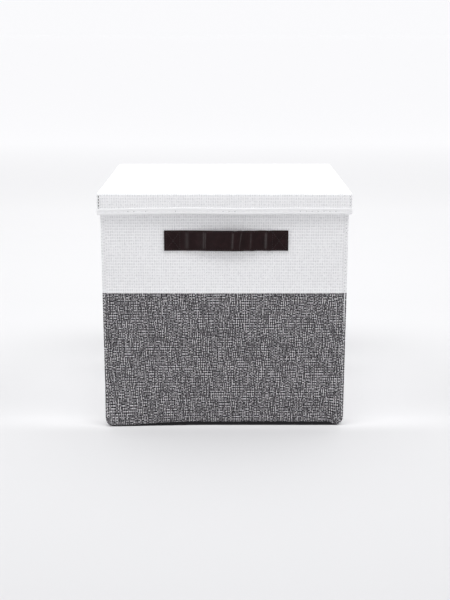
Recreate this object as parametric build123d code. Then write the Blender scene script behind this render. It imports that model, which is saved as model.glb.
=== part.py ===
from build123d import *
import os

# Lidded, foldable fabric storage bin, in millimetres.
# +Z is up, the front with the strap handle faces -Y, and the origin is the middle of the footprint.

# Bin body, outside
BODY_WIDTH = 303.2
BODY_DEPTH = 282.0
RIM_HEIGHT = 295.0
BAND_SEAM_HEIGHT = 175.0

# Layers of a wall, from the outside in
WALL_CLOTH = 1.2
PATCH_ROOM = 0.5
WALL_BOARD = 2.2
WALL_LINING = 0.9
BOARD_SIDE_INSET = 2.0
BOARD_LIFT = 2.6

# Tape bound over the rim of each wall
RIM_TAPE_HEIGHT = 10.0
RIM_TAPE_TOP = 1.0
RIM_TAPE_PLAY = 0.4

# Bottom cloth with turned-up edges
BOTTOM_CLOTH = 0.8
BOTTOM_SIDE_GAP = 0.8
BOTTOM_FACE_INSET = 0.4

# Base panel: a board in a cloth sleeve, sewn to the front wall along its front edge
BASE_BOARD = 2.8
BASE_COVER = 0.6
BASE_LIE_GAP = 0.2
BASE_HINGE_GAP = 0.4
BASE_SIDE_GAP = 0.6
BASE_BACK_GAP = 2.7
BASE_BOARD_INSET = 1.0

# Room that the folds need
FOLD_CLEARANCE = 0.4
POCKET_PLAY = 0.8
CORNER_GAP = 0.4
CREASE_GAP = 0.4
CORNER_RADIUS = 2.5

# Lid
LID_CLEARANCE = 1.4
LID_REST_GAP = 0.2
LID_LINING = 0.8
LID_BOARD = 3.2
LID_CLOTH = 0.8
LID_DROP = 26.0
SKIRT_LINING = 0.5
SKIRT_BOARD = 0.9
LID_BOARD_PLAY = 0.3

# Tape bound over the lower edge of the lid's skirt
LID_TAPE = 0.6
LID_TAPE_HEIGHT = 8.5

# Strap handles
STRAP_LENGTH = 152.5
STRAP_WIDTH = 25.4
STRAP_THICKNESS = 1.8
STRAP_TAB = 22.0
STRAP_BOW = 3.0
STRAP_BELOW_LID = 20.3
STRAP_OFFSET = 2.0
PATCH_MARGIN = 3.0

# Places worked out from the sizes above
WALL = WALL_CLOTH + PATCH_ROOM + WALL_BOARD + WALL_LINING
BASE_THICKNESS = BASE_BOARD + 2 * BASE_COVER
BASE_BOTTOM = BOTTOM_CLOTH + BASE_LIE_GAP
BASE_TOP = BASE_BOTTOM + BASE_THICKNESS
HEM_HEIGHT = BASE_TOP + FOLD_CLEARANCE
INNER_HALF_WIDTH = BODY_WIDTH / 2 - WALL
INNER_HALF_DEPTH = BODY_DEPTH / 2 - WALL
POCKET = BASE_HINGE_GAP + BASE_THICKNESS + POCKET_PLAY
CORNER_LENGTH = WALL + POCKET
SIDE_END = BODY_DEPTH / 2 - CORNER_LENGTH - CORNER_GAP
RIM_TAPE_BOTTOM = RIM_HEIGHT - RIM_TAPE_HEIGHT
LID_SKIRT = SKIRT_LINING + SKIRT_BOARD + LID_CLOTH
LID_HALF_WIDTH = BODY_WIDTH / 2 + LID_CLEARANCE + LID_SKIRT
LID_HALF_DEPTH = BODY_DEPTH / 2 + LID_CLEARANCE + LID_SKIRT
LID_LINING_BOTTOM = RIM_HEIGHT + LID_REST_GAP
LID_BOARD_BOTTOM = LID_LINING_BOTTOM + LID_LINING
LID_CLOTH_BOTTOM = LID_BOARD_BOTTOM + LID_BOARD
LID_TOP = LID_CLOTH_BOTTOM + LID_CLOTH
LID_BOTTOM = LID_TOP - LID_DROP
SKIRT_BOTTOM = LID_BOTTOM + LID_TAPE
STRAP_HEIGHT = LID_BOTTOM - STRAP_BELOW_LID - STRAP_WIDTH / 2

# A wall is drawn with its outer face on y = 0 and its inside towards +y, then set in place
FRONT = Pos(0, -BODY_DEPTH / 2, 0)
BACK = Pos(0, BODY_DEPTH / 2, 0) * Rot(0, 0, 180)
LEFT = Pos(-BODY_WIDTH / 2, 0, 0) * Rot(0, 0, -90)
RIGHT = Pos(BODY_WIDTH / 2, 0, 0) * Rot(0, 0, 90)

os.makedirs("parts", exist_ok=True)


def slab(x, y, z):
    """A box between the two values given for each axis."""
    low_x, high_x = sorted(x)
    low_y, high_y = sorted(y)
    low_z, high_z = sorted(z)
    size = Box(high_x - low_x, high_y - low_y, high_z - low_z, align=(Align.MIN,) * 3)
    return Pos(low_x, low_y, low_z) * size


def save(node, *solids):
    """One sub-part, as a single solid or a group of separate ones."""
    shape = solids[0] if len(solids) == 1 else Compound(children=list(solids))
    export_step(shape, f"parts/{node}.step")


def wall(name, place, start, end):
    """The layers of one stiff wall panel that runs from start to end."""
    run = (start, end)
    board_run = (start + BOARD_SIDE_INSET, end - BOARD_SIDE_INSET)
    board_face = WALL_CLOTH + PATCH_ROOM
    lining_face = board_face + WALL_BOARD
    cloth = (0, WALL_CLOTH)
    lining = (lining_face, WALL)
    tape_web = (RIM_HEIGHT - RIM_TAPE_TOP, RIM_HEIGHT)
    tape_legs = (RIM_TAPE_BOTTOM, RIM_HEIGHT)
    board_height = (HEM_HEIGHT + BOARD_LIFT, tape_web[0] - RIM_TAPE_PLAY)
    rim_tape = slab(run, (0, WALL), tape_web) + slab(run, cloth, tape_legs) + slab(run, lining, tape_legs)
    save(f"{name}_grey_cloth", place * slab(run, cloth, (HEM_HEIGHT, BAND_SEAM_HEIGHT)))
    save(f"{name}_white_cloth", place * slab(run, cloth, (BAND_SEAM_HEIGHT, RIM_TAPE_BOTTOM)))
    save(f"{name}_board", place * slab(board_run, (board_face, lining_face), board_height))
    save(f"{name}_lining", place * slab(run, lining, (HEM_HEIGHT, RIM_TAPE_BOTTOM)))
    save(f"{name}_rim_tape", place * rim_tape)


def corner_seam(side, height):
    """The sewn corner at one end of the front or back wall, with its outer edge rounded."""
    strip = slab((side * INNER_HALF_WIDTH, side * BODY_WIDTH / 2), (0, CORNER_LENGTH), height)
    outer_edges = strip.edges().filter_by(Axis.Z).sort_by(Axis.Y)[:2]
    outer_edge = outer_edges.sort_by(Axis.X)[0 if side < 0 else -1]
    return fillet(outer_edge, CORNER_RADIUS)


def strap(offset):
    """A strap that lies flat at its two sewn tabs and bows away from the wall between them."""
    half = STRAP_LENGTH / 2
    bend = half - STRAP_TAB
    face = STRAP_THICKNESS
    outline = Polyline((-bend, 0), (-half, 0), (-half, -face), (-bend, -face))
    outline += ThreePointArc((-bend, -face), (0, -face - STRAP_BOW), (bend, -face))
    outline += Polyline((bend, -face), (half, -face), (half, 0), (bend, 0))
    outline += ThreePointArc((bend, 0), (0, -STRAP_BOW), (-bend, 0))
    band = extrude(make_face(outline), STRAP_WIDTH)
    return Pos(offset, 0, STRAP_HEIGHT - STRAP_WIDTH / 2) * band


def backing_patch(offset, side):
    """The patch behind the cloth that one tab of a strap is sewn through to."""
    reach = STRAP_LENGTH / 2 + PATCH_MARGIN
    inner = STRAP_LENGTH / 2 - STRAP_TAB - PATCH_MARGIN
    half_width = STRAP_WIDTH / 2 + PATCH_MARGIN
    run = (offset + side * inner, offset + side * reach)
    height = (STRAP_HEIGHT - half_width, STRAP_HEIGHT + half_width)
    return slab(run, (WALL_CLOTH, WALL_CLOTH + PATCH_ROOM), height)


# Front and back walls run between the corner seams
wall("front", FRONT, -INNER_HALF_WIDTH, INNER_HALF_WIDTH)
wall("back", BACK, -INNER_HALF_WIDTH, INNER_HALF_WIDTH)

# Each side wall is two halves that meet at an upright crease
wall("left_front", LEFT, CREASE_GAP / 2, SIDE_END)
wall("left_back", LEFT, -SIDE_END, -CREASE_GAP / 2)
wall("right_front", RIGHT, -SIDE_END, -CREASE_GAP / 2)
wall("right_back", RIGHT, CREASE_GAP / 2, SIDE_END)

# Sewn corners, which reach the floor and carry the bin
for wall_name, place, corner_names in (
    ("front", FRONT, ("left", "right")),
    ("back", BACK, ("right", "left")),
):
    for side, corner_name in zip((-1, 1), corner_names):
        corner = f"{wall_name}_{corner_name}_corner"
        save(f"{corner}_grey", place * corner_seam(side, (0, BAND_SEAM_HEIGHT)))
        save(f"{corner}_white", place * corner_seam(side, (BAND_SEAM_HEIGHT, RIM_HEIGHT)))

# Strap handles and the patches that they are sewn through to
for wall_name, place, offset in (("front", FRONT, STRAP_OFFSET), ("back", BACK, -STRAP_OFFSET)):
    save(f"{wall_name}_handle_strap", place * strap(offset))
    patches = [place * backing_patch(offset, side) for side in (-1, 1)]
    save(f"{wall_name}_handle_backing", *patches)

# Bottom cloth, a shallow tray whose edges are turned up under the walls, close to the front and back faces
bottom_half_width = INNER_HALF_WIDTH - BOTTOM_SIDE_GAP
bottom_half_depth = BODY_DEPTH / 2 - BOTTOM_FACE_INSET
bottom_run = (-bottom_half_width, bottom_half_width)
bottom_depth = (-bottom_half_depth, bottom_half_depth)
hollow_half_width = bottom_half_width - BOTTOM_CLOTH
hollow_half_depth = bottom_half_depth - BOTTOM_CLOTH
hollow_run = (-hollow_half_width, hollow_half_width)
hollow_depth = (-hollow_half_depth, hollow_half_depth)
tray = slab(bottom_run, bottom_depth, (0, BASE_TOP))
save("bottom_cloth", tray - slab(hollow_run, hollow_depth, (BOTTOM_CLOTH, BASE_TOP)))

# Base panel
base_half_width = hollow_half_width - BASE_SIDE_GAP
base_front = -INNER_HALF_DEPTH + BASE_HINGE_GAP
base_back = INNER_HALF_DEPTH - BASE_BACK_GAP
sleeve_front = base_front + BASE_COVER
sleeve_back = base_back - BASE_COVER
board_height = (BASE_BOTTOM + BASE_COVER, BASE_TOP - BASE_COVER)
sleeve_run = (-base_half_width, base_half_width)
sleeve = slab(sleeve_run, (base_front, base_back), (BASE_BOTTOM, BASE_TOP))
sleeve -= slab(sleeve_run, (sleeve_front, sleeve_back), board_height)
board_half_width = base_half_width - BASE_BOARD_INSET
board_depth = (sleeve_front + BASE_BOARD_INSET / 2, sleeve_back - BASE_BOARD_INSET / 2)
save("base_cover", sleeve)
save("base_board", slab((-board_half_width, board_half_width), board_depth, board_height))

# Lid: a stiff top with a lining below and cloth above
inside_half_width = LID_HALF_WIDTH - LID_SKIRT
inside_half_depth = LID_HALF_DEPTH - LID_SKIRT
lid_board_half_width = inside_half_width - LID_BOARD_PLAY
lid_board_half_depth = inside_half_depth - LID_BOARD_PLAY
lid_run = (-LID_HALF_WIDTH, LID_HALF_WIDTH)
lid_depth = (-LID_HALF_DEPTH, LID_HALF_DEPTH)
board_run = (-lid_board_half_width, lid_board_half_width)
board_depth = (-lid_board_half_depth, lid_board_half_depth)
save("lid_top_cloth", slab(lid_run, lid_depth, (LID_CLOTH_BOTTOM, LID_TOP)))
save("lid_board", slab(board_run, board_depth, (LID_BOARD_BOTTOM, LID_CLOTH_BOTTOM)))
save("lid_lining", slab(board_run, board_depth, (LID_LINING_BOTTOM, LID_BOARD_BOTTOM)))


def skirt_ring(outer_inset, thickness):
    """Four upright strips round the lid, at a depth counted in from its outer face."""
    height = (SKIRT_BOTTOM, LID_CLOTH_BOTTOM)
    half_width = LID_HALF_WIDTH - outer_inset
    half_depth = LID_HALF_DEPTH - outer_inset
    between = half_depth - thickness
    long_run = (-half_width, half_width)
    short_run = (-between, between)
    return {
        "front": slab(long_run, (-half_depth, -between), height),
        "back": slab(long_run, (between, half_depth), height),
        "left": slab((-half_width, thickness - half_width), short_run, height),
        "right": slab((half_width - thickness, half_width), short_run, height),
    }


for name, strip in skirt_ring(0, LID_CLOTH).items():
    save(f"lid_{name}_skirt", strip)
save("lid_skirt_boards", *skirt_ring(LID_CLOTH, SKIRT_BOARD).values())
save("lid_skirt_lining", *skirt_ring(LID_CLOTH + SKIRT_BOARD, SKIRT_LINING).values())


def lid_tape(half_run, half_span, web_run, leg_run):
    """Tape folded round the lower edge of one skirt, which lies half_span in front of the middle."""
    outer = -half_span - LID_TAPE
    inner = -half_span + LID_SKIRT
    legs = (SKIRT_BOTTOM, LID_BOTTOM + LID_TAPE_HEIGHT)
    tape = slab((-half_run, half_run), (outer, -half_span), legs)
    tape += slab((-web_run, web_run), (outer, inner + LID_TAPE), (LID_BOTTOM, SKIRT_BOTTOM))
    tape += slab((-leg_run, leg_run), (inner, inner + LID_TAPE), legs)
    return tape


# The front and back tapes run past the corners, and the side tapes fit between them
long_leg = inside_half_width - LID_TAPE
short_leg = inside_half_depth - LID_TAPE
long_run = LID_HALF_WIDTH + LID_TAPE
long_tape = lid_tape(long_run, LID_HALF_DEPTH, long_run, long_leg)
short_tape = lid_tape(LID_HALF_DEPTH, LID_HALF_WIDTH, short_leg, short_leg)
save("lid_front_tape", long_tape)
save("lid_back_tape", Rot(0, 0, 180) * long_tape)
save("lid_left_tape", Rot(0, 0, -90) * short_tape)
save("lid_right_tape", Rot(0, 0, 90) * short_tape)
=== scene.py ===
import math

import bmesh
import bpy
from mathutils import Matrix, Vector, noise


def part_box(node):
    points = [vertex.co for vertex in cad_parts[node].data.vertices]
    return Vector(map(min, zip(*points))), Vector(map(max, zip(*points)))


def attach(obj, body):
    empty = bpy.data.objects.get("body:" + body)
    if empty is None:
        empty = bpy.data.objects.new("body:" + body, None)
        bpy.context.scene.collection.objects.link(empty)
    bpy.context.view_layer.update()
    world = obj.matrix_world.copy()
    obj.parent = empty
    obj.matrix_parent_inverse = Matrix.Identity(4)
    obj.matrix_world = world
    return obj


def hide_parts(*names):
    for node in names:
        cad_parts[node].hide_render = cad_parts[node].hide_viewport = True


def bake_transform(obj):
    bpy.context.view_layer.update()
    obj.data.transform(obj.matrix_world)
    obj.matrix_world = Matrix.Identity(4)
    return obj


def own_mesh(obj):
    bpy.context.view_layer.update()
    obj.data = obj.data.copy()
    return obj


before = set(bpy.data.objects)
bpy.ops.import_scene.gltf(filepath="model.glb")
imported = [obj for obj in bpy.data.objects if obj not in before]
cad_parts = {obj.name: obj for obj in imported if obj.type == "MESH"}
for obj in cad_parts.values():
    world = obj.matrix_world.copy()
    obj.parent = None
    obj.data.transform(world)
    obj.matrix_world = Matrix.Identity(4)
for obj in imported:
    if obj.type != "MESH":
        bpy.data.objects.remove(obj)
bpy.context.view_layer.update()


# Wall boards: stiff grey board, one in the front and the back wall and two in each side wall.
# They are slipped in between cloth and lining. The front and back ones have bowed in a little above
# the band seam, and the front one has spread at its lower left; every layer of a wall follows.
MM = 0.001
SHARP_TURN = math.radians(50)
WALL_BOW = 3.5 * MM
WALL_BOW_RISE = 80 * MM
FOOT_SPREAD = 4.8 * MM
FOOT_SPREAD_RUN = -35 * MM, -135 * MM
FOOT_SPREAD_FADE = 60 * MM
BOARD_COLOURS = (0.20, 0.17, 0.13), (0.32, 0.28, 0.22)

half_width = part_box("front_right_corner_grey")[1].x
half_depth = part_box("back_right_corner_grey")[1].y
rim_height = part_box("front_right_corner_white")[1].z
hem_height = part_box("front_grey_cloth")[0].z
seam_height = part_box("front_white_cloth")[0].z
panel_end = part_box("front_grey_cloth")[1].x
side_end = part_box("right_back_grey_cloth")[1].y

# Each wall: the turn that brings it round from the front, its outer face's distance, half its run, its bow
WALLS = {
    "front": (0, half_depth, half_width, WALL_BOW),
    "right": (90, half_width, half_depth, 0.0),
    "back": (180, half_depth, half_width, WALL_BOW),
    "left": (-90, half_width, half_depth, 0.0),
}


def smooth_step(value):
    """0 below 0, 1 above 1, and a smooth rise between."""
    value = min(max(value, 0.0), 1.0)
    return value * value * (3 - 2 * value)


def wall_bow(wall, along, height):
    """How far a wall has bowed in, most in the middle of its upper half."""
    half_run, bow = WALLS[wall][2:]
    middle = 0.5 + 0.5 * math.cos(math.pi * min(abs(along) / half_run, 1))
    return bow * middle * smooth_step((height - seam_height) / WALL_BOW_RISE)


def foot_spread(along, height):
    """How far the front wall's foot has spread forward, towards its left corner."""
    start, end = FOOT_SPREAD_RUN
    share = min(max((along - start) / (end - start), 0), 1)
    return FOOT_SPREAD * share * (1 - smooth_step(height / FOOT_SPREAD_FADE))


def on_wall(wall, along, depth, height):
    """A point of a wall: along it to the right, seen from outside, in from its outer face, and up."""
    turn, reach = WALLS[wall][:2]
    depth += wall_bow(wall, along, height)
    if wall == "front":
        depth -= foot_spread(along, height)
    return Matrix.Rotation(math.radians(turn), 3, "Z") @ Vector((along, depth - reach, height))


def spaced(points, step):
    """The points of a line, with more set evenly between them so that none are further apart than step."""
    line = [Vector(points[0])]
    for end in points[1:]:
        start = line[-1].copy()
        end = Vector(end)
        count = max(1, math.ceil((end - start).length / step))
        line += [start.lerp(end, number / count) for number in range(1, count + 1)]
    return line


def finished_piece(name, mesh, *finishes, sharp_turn=SHARP_TURN):
    """A bmesh as an object of the scene, smooth but for its sharp edges."""
    for edge in mesh.edges:
        edge.smooth = edge.calc_face_angle(0) < sharp_turn
    data = bpy.data.meshes.new(name)
    mesh.to_mesh(data)
    mesh.free()
    for finish in finishes:
        data.materials.append(finish)
    piece = bpy.data.objects.new(name, data)
    bpy.context.collection.objects.link(piece)
    return piece


def gridded_piece(
    name, columns, rows, place, *finishes, thickness=0.0, joined=False, closed=False, finish_of=None
):
    """A piece shaped from a grid, where place(column, row) gives a point and its spot on the flat cloth.

    A thickness is added behind the faces. A joined piece meets itself where its edges lie together, and
    a closed one has its open ends filled too.
    """
    mesh = bmesh.new()
    bmesh.ops.create_grid(mesh, x_segments=columns, y_segments=rows, size=0.5)
    cloth_spot = mesh.loops.layers.uv.new("cloth")
    cells = {}
    spots = {}
    for vert in mesh.verts:
        cells[vert] = round((vert.co.x + 0.5) * columns), round((vert.co.y + 0.5) * rows)
        vert.co, spots[vert] = place(*cells[vert])
    for face in mesh.faces:
        face.smooth = True
        if finish_of:
            face.material_index = finish_of(*map(min, zip(*(cells[vert] for vert in face.verts))))
        for loop in face.loops:
            loop[cloth_spot].uv = spots[loop.vert]
    if joined or closed:
        bmesh.ops.remove_doubles(mesh, verts=mesh.verts[:], dist=0.001 * MM)
    if closed:
        bmesh.ops.holes_fill(mesh, edges=[edge for edge in mesh.edges if edge.is_boundary], sides=0)
        bmesh.ops.recalc_face_normals(mesh, faces=mesh.faces[:])
    if thickness:
        mesh.normal_update()
        bmesh.ops.solidify(mesh, geom=mesh.faces[:], thickness=thickness)
    return finished_piece(name, mesh, *finishes)


def wall_sheet(name, wall, run, profile, thickness, finish, step=4 * MM, shift=None):
    """A sheet on a wall, from run's start to its end, with (depth, height) points up its outer face."""
    alongs = [point.x for point in spaced([(run[0], 0), (run[1], 0)], step)]
    upward = spaced(profile, step)
    climbed = [0.0]
    for lower, upper in zip(upward, upward[1:]):
        climbed.append(climbed[-1] + (upper - lower).length)

    def place(column, row):
        along, (depth, height) = alongs[column], upward[row]
        spot = along, climbed[row] + profile[0][1]
        if shift:
            along, depth, height = shift(wall, along, depth, height)
        return on_wall(wall, along, depth, height), spot

    return gridded_piece(name, len(alongs) - 1, len(upward) - 1, place, finish, thickness=thickness)


def shader_node(tree, kind, inputs, **settings):
    """A new shader node, with its settings made and its inputs set or linked."""
    made = tree.nodes.new(kind)
    for key, value in settings.items():
        setattr(made, key, value)
    for key, value in inputs.items():
        if isinstance(value, bpy.types.NodeSocket):
            tree.links.new(value, made.inputs[key])
        else:
            made.inputs[key].default_value = value
    return made


def shaded(tree, tone, stops):
    """Colours picked by a tone from (place, colour) stops."""
    ramp = shader_node(tree, "ShaderNodeValToRGB", {"Fac": tone})
    while len(ramp.color_ramp.elements) < len(stops):
        ramp.color_ramp.elements.new(0.5)
    for element, (place, colour) in zip(ramp.color_ramp.elements, stops):
        element.position = place
        element.color = (*colour, 1)
    return ramp.outputs["Color"]


def new_finish(name, roughness, specular, sheen=0.0):
    """A new material, its node tree and its shader, with the values that are the same all over it."""
    finish = bpy.data.materials.new(name)
    finish.use_nodes = True
    shader = finish.node_tree.nodes["Principled BSDF"]
    shader.inputs["Roughness"].default_value = roughness
    shader.inputs["Specular IOR Level"].default_value = specular
    shader.inputs["Sheen Weight"].default_value = sheen
    return finish, finish.node_tree, shader


def raise_relief(tree, shader, height, distance, strength=1.0):
    """Bump on a shader from a height between about 0 and 1."""
    bump = shader_node(
        tree, "ShaderNodeBump", {"Height": height, "Distance": distance, "Strength": strength}
    )
    tree.links.new(bump.outputs["Normal"], shader.inputs["Normal"])


def grey_board(name, dark, light):
    """Pulp board: short fibres and faint blotches."""
    finish, tree, shader = new_finish(name, roughness=0.9, specular=0.2)
    place = shader_node(tree, "ShaderNodeTexCoord", {}).outputs["Object"]
    fibres = shader_node(
        tree, "ShaderNodeTexNoise", {"Vector": place, "Scale": 900.0, "Detail": 4.0, "Distortion": 1.5}
    ).outputs["Fac"]
    tree.links.new(shaded(tree, fibres, [(0.35, dark), (0.65, light)]), shader.inputs["Base Color"])
    raise_relief(tree, shader, fibres, 0.1 * MM, 0.4)
    return finish


def press_flat(piece):
    """A front wall's inner layer gets its own copy of its mesh."""
    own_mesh(piece)


def show_board(name):
    """A board that keeps its plain shape gets the look of grey board."""
    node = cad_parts[name]
    node.data.materials.clear()
    node.data.materials.append(board)


board = grey_board("grey_board", *BOARD_COLOURS)
for wall in ("front", "back"):
    node = f"{wall}_board"
    low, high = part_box(node)
    board_depth = half_depth - max(abs(low.y), abs(high.y))
    upright = [(board_depth, low.z), (board_depth, high.z)]
    piece = wall_sheet(f"{node}_bowed", wall, (low.x, high.x), upright, high.y - low.y, board)
    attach(piece, f"{wall}_wall")
    if wall == "front":
        press_flat(piece)
    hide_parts(node)
for wall in ("left_front", "left_back", "right_front", "right_back"):
    show_board(f"{wall}_board")


# Wall linings: pale grey bonded cloth with a dimpled face, one piece to each wall.
# They lie on the inner faces of the boards, and their edges are caught in the hems, the corner
# seams and the rim tape. The side ones are in one piece across the crease.
LINING_COLOURS = (0.46, 0.46, 0.47), (0.60, 0.60, 0.61)
DIMPLE_PITCH = 2.4 * MM
CREASE_REACH = 4 * MM
CREASE_SINK = 0.6 * MM
RIM_TUCK = 1.5 * MM


def bonded_cloth(name, dark, light, pitch):
    """Bonded cloth: matted fibres, pressed into small dimples at a regular pitch."""
    finish, tree, shader = new_finish(name, roughness=0.85, specular=0.25)
    place = shader_node(tree, "ShaderNodeUVMap", {}, uv_map="cloth").outputs["UV"]
    dimples = shader_node(
        tree, "ShaderNodeTexVoronoi", {"Vector": place, "Scale": 1 / pitch, "Randomness": 0.12},
        voronoi_dimensions="2D",
    ).outputs["Distance"]
    fibres = shader_node(
        tree, "ShaderNodeTexNoise", {"Vector": place, "Scale": 700.0, "Detail": 3.0, "Distortion": 2.0}
    ).outputs["Fac"]
    tree.links.new(shaded(tree, fibres, [(0.3, dark), (0.7, light)]), shader.inputs["Base Color"])
    raise_relief(tree, shader, dimples, 0.25 * MM, 0.6)
    return finish


def at_crease(wall, along, depth, height):
    """A side wall's cloth sinks in a little along its crease."""
    sunk = CREASE_SINK * (1 - smooth_step(abs(along) / CREASE_REACH))
    return along, depth + sunk, height


def bend_at_crease(piece, side):
    """A side wall's piece, in one piece across the crease, gets its transform baked in."""
    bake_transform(piece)


def wall_layer(layer, node, profile, thickness, finish, side_step, shift=None, pressed=False):
    """One layer of all four walls. The side ones run on across the crease."""
    for wall in ("front", "back"):
        run = (-panel_end, panel_end)
        piece = wall_sheet(f"{wall}_{layer}", wall, run, profile, thickness, finish, shift=shift)
        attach(piece, f"{wall}_wall")
        if pressed and wall == "front":
            press_flat(piece)
        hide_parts(f"{wall}_{node}")
    for wall in ("left", "right"):
        run = (-side_end, side_end)
        piece = wall_sheet(f"{wall}_{layer}", wall, run, profile, thickness, finish, side_step, shift)
        bend_at_crease(piece, wall)
        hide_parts(f"{wall}_front_{node}", f"{wall}_back_{node}")


lining = bonded_cloth("lining_cloth", *LINING_COLOURS, DIMPLE_PITCH)
lining_low, lining_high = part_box("front_lining")
wall_depth = half_depth + lining_high.y
lining_thickness = lining_high.y - lining_low.y
lining_top = rim_height - RIM_TUCK
lining_depth = wall_depth - lining_thickness
lining_rise = [(lining_depth, hem_height), (lining_depth, lining_top)]
wall_layer(
    "lining_sheet", "lining", lining_rise, lining_thickness, lining,
    side_step=2 * MM, pressed=True,
)


# Grey band: the lower half of every wall, a plain weave of dark and light slubbed yarns.
# Its lower edge is turned in as a hem, which sags to the floor towards the front corners, and
# its upper edge is turned in behind the fold of the white band.
GREY_PITCHES = 1.22 * MM, 1.66 * MM
GREY_SLUBS = 11.0 * MM, 2.2 * MM
GREY_COLOURS = [
    (0.36, (0.013, 0.012, 0.014)),
    (0.47, (0.069, 0.066, 0.071)),
    (0.56, (0.280, 0.272, 0.285)),
    (0.66, (0.710, 0.697, 0.717)),
]
HEM_TURN = 2.5 * MM
SIDE_BELLY = 1.4 * MM
FRONT_BELLY = 0.5 * MM
PUCKER = 0.14 * MM
PUCKERS_A_METRE = 38, 24
PUCKER_FADE = 12 * MM
HEM_DROOP = 0.9 * MM
HEM_SAG_FADE = 45 * MM
HEM_SAGS = {-1: (3.8 * MM, 50 * MM, 140 * MM), 1: (3.6 * MM, 131 * MM, 142 * MM)}


def woven_cloth(name, pitches, stops, slubs, turns, hop, relief, painted_gap_shade):
    """Plain weave on the cloth's own UV map, of darker and lighter yarns by turns.

    Each pair of values is for the upright warp and the level weft: the yarns' pitches, the lengths over
    which a yarn's tone changes, and how much lighter every second yarn is on the whole. hop is how
    unlike a yarn is to its next but one.
    """
    warp, weft = pitches
    finish, tree, shader = new_finish(name, roughness=0.92, specular=0.15, sheen=0.05)

    def calc(operation, first, second=0.0):
        return shader_node(tree, "ShaderNodeMath", {0: first, 1: second}, operation=operation).outputs[0]

    place = shader_node(tree, "ShaderNodeUVMap", {}, uv_map="cloth").outputs["UV"]
    flat = shader_node(tree, "ShaderNodeSeparateXYZ", {"Vector": place})
    drift = shader_node(
        tree, "ShaderNodeTexNoise", {"Vector": place, "Scale": 25.0, "Detail": 1.0}
    )
    drifts = shader_node(tree, "ShaderNodeSeparateXYZ", {"Vector": drift.outputs["Color"]})
    across = calc("MULTIPLY_ADD", flat.outputs["X"], 1 / warp)
    tree.links.new(calc("MULTIPLY", drifts.outputs["X"], 0.5), across.node.inputs[2])
    up = calc("MULTIPLY_ADD", flat.outputs["Y"], 1 / weft)
    tree.links.new(calc("MULTIPLY", drifts.outputs["Y"], 0.5), up.node.inputs[2])
    warp_number = calc("FLOOR", across)
    weft_number = calc("FLOOR", up)

    def yarn_height(position, number, other):
        """How high a yarn stands: round across itself, and over every other yarn that it crosses."""
        from_middle = calc("ABSOLUTE", calc("SUBTRACT", calc("FRACT", position), 0.5))
        rounded = calc("SUBTRACT", 1.0, calc("MULTIPLY", calc("POWER", from_middle, 2.0), 3.2))
        swing = calc("MULTIPLY", calc("SUBTRACT", calc("SUBTRACT", other, number), 0.5), math.pi)
        return rounded, calc("MULTIPLY", calc("COSINE", swing), 0.45)

    warp_round, warp_lift = yarn_height(across, warp_number, up)
    weft_round, weft_lift = yarn_height(up, weft_number, across)
    warp_top = calc("ADD", warp_round, warp_lift)
    weft_top = calc("SUBTRACT", weft_round, weft_lift)
    warp_shows = calc("GREATER_THAN", warp_top, weft_top)
    height = calc("MAXIMUM", warp_top, weft_top)

    def yarn_tone(number, length, stretch, seed, lighter):
        """A yarn's tone, which changes along it in slubs, and as much the other way on the next yarn."""
        spot = shader_node(
            tree, "ShaderNodeCombineXYZ",
            {"X": calc("MULTIPLY", number, hop), "Y": calc("MULTIPLY", length, 1 / stretch), "Z": seed},
        ).outputs["Vector"]
        slub = shader_node(
            tree, "ShaderNodeTexNoise", {"Vector": spot, "Scale": 1.0, "Detail": 1.0, "Roughness": 0.6}
        ).outputs["Fac"]
        odd = calc("FRACT", calc("MULTIPLY", number, 0.5))
        turn = calc("SUBTRACT", 1.0, calc("MULTIPLY", odd, 4.0))
        return calc("ADD", calc("MULTIPLY", calc("ADD", slub, lighter - 0.5), turn), 0.5)

    tone = shader_node(
        tree, "ShaderNodeMix",
        {
            "Factor": warp_shows,
            "A": yarn_tone(weft_number, flat.outputs["X"], slubs[1], 3.1, turns[1]),
            "B": yarn_tone(warp_number, flat.outputs["Y"], slubs[0], 8.6, turns[0]),
        },
    ).outputs["Result"]
    # Painted shade: the colour is darkened where the yarns lie low, in the gaps between them.
    shade = shader_node(
        tree, "ShaderNodeMapRange",
        {"Value": height, "From Min": 0.3, "From Max": 1.2, "To Min": painted_gap_shade, "To Max": 1.0},
    ).outputs["Result"]
    colour = shader_node(
        tree, "ShaderNodeVectorMath", {0: shaded(tree, tone, stops), "Scale": shade}, operation="SCALE"
    ).outputs["Vector"]
    tree.links.new(colour, shader.inputs["Base Color"])
    raise_relief(tree, shader, height, relief)
    return finish


def slack(wall, along, depth, height):
    """Outer cloth stands off its board, most in the middle of the wall, and puckers faintly."""
    half_run = WALLS[wall][2]
    belly = FRONT_BELLY if wall in ("front", "back") else SIDE_BELLY
    middle = math.cos(math.pi / 2 * along / half_run) * math.sin(math.pi * height / rim_height)
    turn = WALLS[wall][0]
    across, up = PUCKERS_A_METRE
    uneven = noise.noise(Vector((along * across, height * up, turn * 0.7 + 0.5)))
    edge = smooth_step((panel_end - abs(along)) / PUCKER_FADE)
    return along, depth - belly * middle - PUCKER * uneven * edge, height


def hem_drop(wall, along, height):
    """How far the front hem sags towards the corners, where the bin stands on the floor."""
    if wall != "front":
        return 0.0
    sag, start, end = HEM_SAGS[-1 if along < 0 else 1]
    near_corner = smooth_step((abs(along) - start) / (end - start))
    return (HEM_DROOP + sag * near_corner) * (1 - smooth_step((height - hem_height) / HEM_SAG_FADE))


def grey_shape(wall, along, depth, height):
    along, depth, height = slack(wall, along, depth, height)
    if wall in ("left", "right"):
        along, depth, height = at_crease(wall, along, depth, height)
    return along, depth, height - hem_drop(wall, along, height)


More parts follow.
